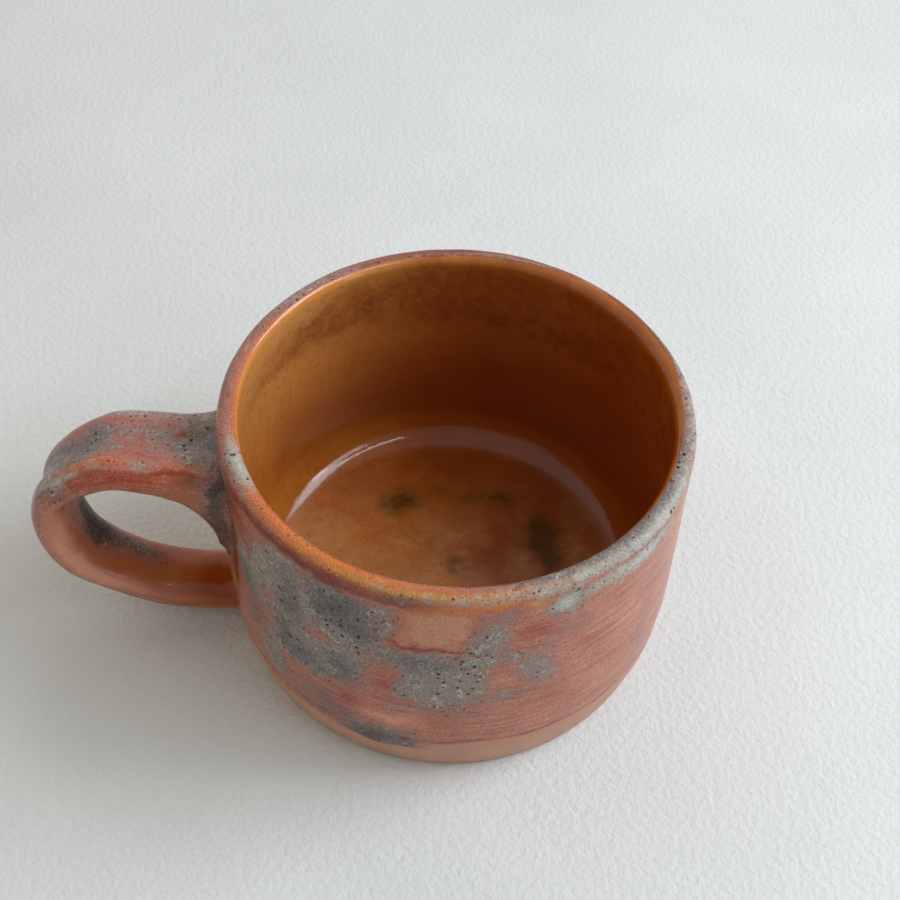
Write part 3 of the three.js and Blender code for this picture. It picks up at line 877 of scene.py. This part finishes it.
# The form of the handle
def handle_route():
    """Closely spaced points of the route as x and z, with the length run so far."""
    upper_wall = float(outer_radius(np.array(UPPER_ROOT)))
    lower_wall = float(outer_radius(np.array(LOWER_ROOT)))
    stops = [(upper_wall - ROOT_DEPTH, UPPER_ROOT), (upper_wall, UPPER_ROOT)]
    stops += [(upper_wall + reach, UPPER_ROOT + rise) for reach, rise in (CROWN, SHOULDER, BEND)]
    stops += [(lower_wall + reach, LOWER_ROOT + rise) for reach, rise in (HEEL, RETURN)]
    stops += [(lower_wall, LOWER_ROOT), (lower_wall - ROOT_DEPTH, LOWER_ROOT)]
    path = np.array([(-reach, height) for reach, height in stops])
    ends = np.vstack([2 * path[0] - path[1], path, 2 * path[-1] - path[-2]])
    share = np.linspace(0, 1, ROUTE_SAMPLES, endpoint=False)[:, None]
    from_start = 2 * share ** 3 - 3 * share ** 2 + 1
    from_leaving = share ** 3 - 2 * share ** 2 + share
    from_end = 3 * share ** 2 - 2 * share ** 3
    from_arriving = share ** 3 - share ** 2
    pieces = []
    for p0, p1, p2, p3 in zip(ends, ends[1:], ends[2:], ends[3:]):
        d0, d1, d2 = [math.sqrt(np.linalg.norm(b - a)) for a, b in ((p0, p1), (p1, p2), (p2, p3))]
        leave = ((p1 - p0) / d0 - (p2 - p0) / (d0 + d1) + (p2 - p1) / d1) * d1
        arrive = ((p2 - p1) / d1 - (p3 - p1) / (d1 + d2) + (p3 - p2) / d2) * d1
        pieces.append(from_start * p1 + from_leaving * leave + from_end * p2 + from_arriving * arrive)
    points = np.vstack(pieces + [path[-1:]])
    run = np.concatenate([[0], np.cumsum(np.linalg.norm(np.diff(points, axis=0), axis=1))])
    return points, run


ROUTE, ROUTE_RUN = handle_route()
ROUTE_LENGTH = ROUTE_RUN[-1]
SECTION_TURN = np.arange(SECTION_SIDES) * 2 * math.pi / SECTION_SIDES
SECTION_ARC = 0.13
HIDDEN_START = 3.0
CORE_SETBACK = 0.5
# The strap's coat: its depth, ripples as depth, size and seed, and lumps as length along the strap,
# turn round its section, half sizes and rise
STRAP_DEPTH = 0.34
STRAP_SETBACK = 0.04
STRAP_RIPPLES = ((0.12, 7, 51), (0.05, 2.2, 52))
STRAP_LUMPS = ((37.5, 135, 3.4, 3.6, 0.5), (24, 60, 9, 4, 0.35))


def rounded(value):
    return np.sign(value) * np.abs(value) ** (2 / SECTION_POWER)


def between(pair, share):
    return pair[0] + (pair[1] - pair[0]) * share


def route_at(run):
    """The route's x and z at lengths along it."""
    return [np.interp(run, ROUTE_RUN, ROUTE[:, axis]) for axis in (0, 1)]


def strap(run, grow):
    """The strap's surface at lengths along the route, grown outwards by a depth."""
    run = run[:, None]
    step = 0.2
    centre_x, centre_z = route_at(run)
    along_x, along_z = [ahead - behind for ahead, behind in zip(route_at(run + step), route_at(run - step))]
    length = np.hypot(along_x, along_z)
    out_x, out_z = along_z / length, -along_x / length
    share = smoothstep(run / ROUTE_LENGTH, *TAPER)
    half_width = between(WIDTH, share) / 2 + grow
    half_thick = between(THICKNESS, share) / 2 + grow
    roll = between(ROLL, share) * DEGREE
    near_root = np.clip(1 - np.maximum(run - ROOT_DEPTH, 0) / GUSSET_RUN, 0, 1)
    gusset = GUSSET_DEPTH * (1 - np.sqrt(1 - near_root ** 2))
    side = half_width * rounded(np.cos(SECTION_TURN))
    lift = rounded(np.sin(SECTION_TURN))
    groove = GROOVE_DEPTH * np.exp(-((2 * side / GROOVE_WIDTH) ** 2))
    height = np.where(lift > 0, (half_thick - groove) * lift, (half_thick + gusset) * lift)
    across = side * np.cos(roll) - height * np.sin(roll)
    out = side * np.sin(roll) + height * np.cos(roll)
    return np.stack([centre_x + out_x * out, across, centre_z + out_z * out], -1)


def glazed_strap(run):
    """The glazed surface, which flares into the wall at both roots as a fillet of slip."""
    plain = strap(run, STRAP_DEPTH)
    gap = np.hypot(plain[..., 0], plain[..., 1]) - outer_radius(plain[..., 2])
    flare = np.zeros(gap.shape)
    upper = run < ROUTE_LENGTH / 2
    for (spread, reach), here in ((UPPER_FILLET, upper), (LOWER_FILLET, ~upper)):
        near = np.clip(1 - gap / reach, 0, 1)
        flare += spread * (1 - np.sqrt(1 - near ** 2)) * here[:, None]
    lumps = sum(depth * ripple(plain, size, seed) for depth, size, seed in STRAP_RIPPLES)
    for at, turn, along, around, rise in STRAP_LUMPS:
        beside = (np.degrees(SECTION_TURN) - turn) * SECTION_ARC / around
        beyond = (run[:, None] - at) / along
        lumps = lumps + rise * np.exp(-beside ** 2 - beyond ** 2)
    return strap(run, STRAP_DEPTH + flare + lumps - STRAP_SETBACK)


# Patches of the glaze on the handle: length along it, turn round its section, half sizes and lean
HANDLE_PATCHES = {
    "grey": (
        (11, 95, 4.6, 3.4), (18, 88, 4.4, 0.8), (21.5, 126, 2.2, 1.1), (31, 96, 5, 2),
        (37.5, 132, 3.6, 3.4), (38, 92, 4, 2), (13, 46, 7, 2.6), (24, 42, 6, 1.4), (58, 298, 8.5, 3.6),
        (72, 292, 4.5, 1.8), (48, 60, 9, 3, 10), (66, 95, 8, 3), (84, 100, 5, 2), (25, 290, 9, 2)),
    "dark": (
        (6.8, 150, 2.4, 5), (59, 296, 8.2, 3.2), (71, 290, 5, 1.4), (32, 95, 5.2, 2.2), (8, 95, 2, 3.4),
        (15, 86, 3, 0.8)),
    "black": ((6.2, 155, 1.7, 5), (60, 289, 6.8, 2.2), (5.4, 205, 1.5, 10)),
    "red": (
        (24, 152, 9.4, 4.2), (22, 101, 5.4, 1.8, -10), (31, 63, 6, 1.6), (17, 70, 5, 1), (56, 130, 7, 1.4),
        (75, 60, 8, 1.4)),
    "rust": ((14, 84, 0.8, 0.4), (18, 142, 7, 0.7), (39.5, 148, 1.6, 0.4), (32.6, 140, 0.5, 3.4)),
    "peach": (),
    "thin": (),
    "blush": ((63, 208, 21, 4), (50, 226, 9, 3.2)),
    "orange": ((29, 126, 3.4, 0.5),),
    "mauve": ((20, 80, 13, 5), (37, 160, 5.5, 4.5), (71, 288, 6, 2.4), (55, 60, 14, 5), (43, 160, 4, 2)),
    "toast": (
        (72, 252, 20, 3.4), (97, 250, 20, 12), (84, 300, 10, 3), (92, 60, 12, 12), (12.5, 155, 3, 3),
        (20, 205, 14, 3)),
    "brown": ((30, 132, 2.4, 1.6), (12.5, 152, 2.2, 1.6)),
    "honey": (),
    "pale_and_highlight": ((36, 133, 2.5, 0.3),),
}
STRAP_WANDER_ALONG = (1.2, 0.5)
STRAP_WANDER_AROUND = (0.8, 0.4)


def handle_fields(points, run):
    along = run[:, None] + wander(points, STRAP_WANDER_ALONG, seeds=(61, 62))
    around = wander(points, STRAP_WANDER_AROUND, seeds=(63, 64))
    turn = np.degrees(SECTION_TURN) + around / SECTION_ARC
    patches = {name: [(at_turn, at, half_around, half_along, *lean)
                      for at, at_turn, half_along, half_around, *lean in shapes]
               for name, shapes in HANDLE_PATCHES.items()}
    fields = patch_fields(turn, along, patches, {}, SECTION_ARC)
    radius = 360 * SECTION_ARC / (2 * math.pi)
    grain = (GRAIN_STRETCH * run[:, None], radius * np.cos(SECTION_TURN), radius * np.sin(SECTION_TURN))
    return {**fields, "grain": np.stack(np.broadcast_arrays(*grain), -1)}


STATION_STEP = 0.5
STATIONS_LEAST = 40
STATION_GRADING = 1.6


def stations(start, end, fine_start=False, fine_end=False):
    """Lengths along the route, close together at an end that meets the wall."""
    share = np.linspace(0, 1, max(int((end - start) / STATION_STEP), STATIONS_LEAST))
    if fine_start:
        share = share ** STATION_GRADING
    if fine_end:
        share = 1 - (1 - share) ** STATION_GRADING
    return start + (end - start) * share


def handle_shell(name, node, run):
    skin = glazed_strap(run)
    fields = handle_fields(skin, run)
    pick = np.linspace(len(run) - 1, 0, UNDER_ROWS * 2).astype(int)
    under = strap(run[pick], UNDERSIDE)
    whole = {key: np.concatenate([value, value[pick]]) for key, value in fields.items()}
    make_piece(name, node, "rose_glaze", np.concatenate([skin, under]), whole, ring=True)


def handle_pieces():
    upper_split = ROOT_DEPTH + UPPER_COLLAR_RUN
    lower_split = ROUTE_LENGTH - ROOT_DEPTH - LOWER_COLLAR_RUN
    hidden_end = ROUTE_LENGTH - HIDDEN_START
    handle_shell("upper_joint", "upper_collar", stations(HIDDEN_START, upper_split, fine_start=True))
    handle_shell("strap_coat", "handle_glaze", stations(upper_split, lower_split))
    handle_shell("lower_joint", "lower_collar", stations(lower_split, hidden_end, fine_end=True))
    core = strap(stations(HIDDEN_START + CORE_SETBACK, hidden_end - CORE_SETBACK), 0)
    make_piece("strap_core", "handle_strap", "stoneware", core, {"grain": wall_grain(core)})


clay_cup()
liner()
outer_coat()
handle_pieces()


# The floor and the room, in metres
FLOOR_HALF = 3.0
FLOOR_COLOUR = (0.85, 0.862, 0.868)
FLOOR_SHADE = 0.97
FLOOR_TONES = (0.3, 0.7)
FLOOR_ROUGHNESS = 0.7
WORLD_COLOUR = (1.0, 0.945, 0.81)
WORLD_STRENGTH = (0.18, 0.80)
BACKDROP_COLOUR = (1.0, 1.0, 1.0)
BACKDROP_STRENGTH = (0.25, 0.85)
BRIGHT_WAY = (-0.6, 0.78, 0.15)


def make_floor():
    finish = Finish("painted_floor")
    broad = finish.noise(size=60)
    fine = finish.noise(size=1.5, detail=4.0)
    shaded = tuple(FLOOR_SHADE * part for part in FLOOR_COLOUR)
    stops = [(tone, *colour, 1) for tone, colour in zip(FLOOR_TONES, (shaded, FLOOR_COLOUR))]
    colour = finish.ramp(broad, stops).outputs["Color"]
    rough = finish.weighed(FLOOR_ROUGHNESS, (fine, 0.2))
    material = finish.done(colour, rough, fine, bump_depth=0.4)
    mesh = bpy.data.meshes.new("floor")
    corners = [(x * FLOOR_HALF, y * FLOOR_HALF, 0) for x, y in ((-1, -1), (1, -1), (1, 1), (-1, 1))]
    mesh.from_pydata(corners, [], [(0, 1, 2, 3)])
    mesh.materials.append(material)
    floor = bpy.data.objects.new("floor", mesh)
    bpy.context.collection.objects.link(floor)


def make_world():
    """A room that is darker in front of the cup, and paler behind it."""
    world = bpy.data.worlds.new("studio")
    world.use_nodes = True
    bpy.context.scene.world = world
    room = Nodes(world.node_tree)
    way = room.node("TexCoord", {}).outputs["Generated"]
    facing = room.node("VectorMath", {0: way, 1: BRIGHT_WAY}, operation="DOT_PRODUCT").outputs["Value"]
    light = room.tree.nodes["Background"]
    backdrop = room.node("Background", {})
    shades = ((light, WORLD_COLOUR, WORLD_STRENGTH), (backdrop, BACKDROP_COLOUR, BACKDROP_STRENGTH))
    for shade, colour, (least, most) in shades:
        shade.inputs["Color"].default_value = (*colour, 1)
        slope = {"Value": facing, "From Min": -1, "From Max": 1, "To Min": least, "To Max": most}
        strength = room.node("MapRange", slope).outputs["Result"]
        room.tree.links.new(strength, shade.inputs["Strength"])
    rays = room.node("LightPath", {}).outputs
    seen = rays["Is Camera Ray"]
    for kind in ("Is Glossy Ray", "Is Transmission Ray"):
        seen = room.math("MAXIMUM", seen, rays[kind])
    mixed = room.node("MixShader", {0: seen, 1: light.outputs[0], 2: backdrop.outputs[0]})
    room.tree.links.new(mixed.outputs[0], room.tree.nodes["World Output"].inputs["Surface"])


# Four panes of a window to the right, as turn, rise, width, height and power, in metres and watts
PANES = (
    (6, 41, 0.5, 0.64, 7.4),
    (-20, 43, 0.5, 0.14, 1.3),
    (-36, 56, 0.45, 0.06, 0.9),
    (-42, 21, 0.14, 0.32, 0.5))
WINDOW_DISTANCE = 1.0
WINDOW_COLOUR = (0.87, 0.93, 1.0)
LIGHT_TARGET = Vector((0, 0, 0.03))


def make_lights():
    for number, (turn, rise, width, height, power) in enumerate(PANES, 1):
        data = bpy.data.lights.new(f"window_pane_{number}", "AREA")
        data.shape = "RECTANGLE"
        data.size = width
        data.size_y = height
        data.energy = power
        data.color = WINDOW_COLOUR
        turn, rise = turn * DEGREE, rise * DEGREE
        level = math.cos(rise)
        place = Vector((math.cos(turn) * level, math.sin(turn) * level, math.sin(rise))) * WINDOW_DISTANCE
        lamp = bpy.data.objects.new(data.name, data)
        lamp.location = place
        lamp.rotation_euler = (LIGHT_TARGET - place).to_track_quat("-Z", "Y").to_euler()
        bpy.context.collection.objects.link(lamp)


# The camera, at the photograph's angle and in its square frame
IMAGE_SIZE = 900
FOCAL_PIXELS = 1600
SENSOR = 36
CLIP_START = 10
CAMERA_TURN = -5
CAMERA_RISE = 50.86
CAMERA_DISTANCE = 321.99
CAMERA_ROLL = 2.98
CUP_MIDDLE = 29.525
MIDDLE_PIXEL = (451.63, 504.68)


def make_camera():
    data = bpy.data.cameras.new("camera")
    data.sensor_width = SENSOR
    data.lens = SENSOR * FOCAL_PIXELS / IMAGE_SIZE
    data.clip_start = CLIP_START * MM
    camera = bpy.data.objects.new("camera", data)
    turn, rise = CAMERA_TURN * DEGREE, CAMERA_RISE * DEGREE
    back = Vector((math.sin(turn) * math.cos(rise), -math.cos(turn) * math.cos(rise), math.sin(rise)))
    right = Vector((math.cos(turn), math.sin(turn), 0))
    facing = Matrix((right, back.cross(right), back)).transposed()
    half = IMAGE_SIZE / 2
    ray = Vector(((MIDDLE_PIXEL[0] - half) / FOCAL_PIXELS, (half - MIDDLE_PIXEL[1]) / FOCAL_PIXELS, -1))
    aim = Vector((0, 0, -1)).rotation_difference(ray).to_matrix()
    rotation = facing @ Matrix.Rotation(CAMERA_ROLL * DEGREE, 3, "Z") @ aim.transposed()
    place = (back * CAMERA_DISTANCE + Vector((0, 0, CUP_MIDDLE))) * MM
    camera.matrix_world = Matrix.Translation(place) @ rotation.to_4x4()
    bpy.context.collection.objects.link(camera)
    bpy.context.scene.camera = camera


make_floor()
make_world()
make_lights()
make_camera()
bpy.context.scene.view_settings.view_transform = "Standard"
